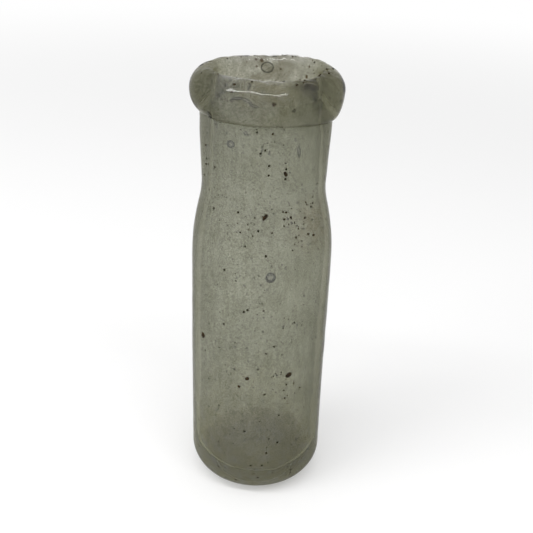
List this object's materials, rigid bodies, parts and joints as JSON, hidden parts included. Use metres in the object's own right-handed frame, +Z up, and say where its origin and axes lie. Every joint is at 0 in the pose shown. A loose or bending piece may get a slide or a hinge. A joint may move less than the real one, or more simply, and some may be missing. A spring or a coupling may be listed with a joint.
{
  "type": "glass milk bottle",
  "caption": "Slim mouth-blown glass bottle with a straight body, soft shoulder, wide neck and a rounded laid-on lip, open at the top.",
  "frame": {"origin": "centre of the base, on the surface that the bottle stands on", "axes": "+Z up along the bottle's axis, towards the mouth"},
  "size_m": [0.0556, 0.0556, 0.17],
  "materials": {
    "body_glass": "grey-green seedy glass, hazed and pitted with age",
    "lip_glass": "grey-green seedy glass, thicker and glossier, with tool marks"
  },
  "bodies": {
    "root": {"bottle_body": "body_glass", "lip_ring": "lip_glass"}
  },
  "joints": []
}
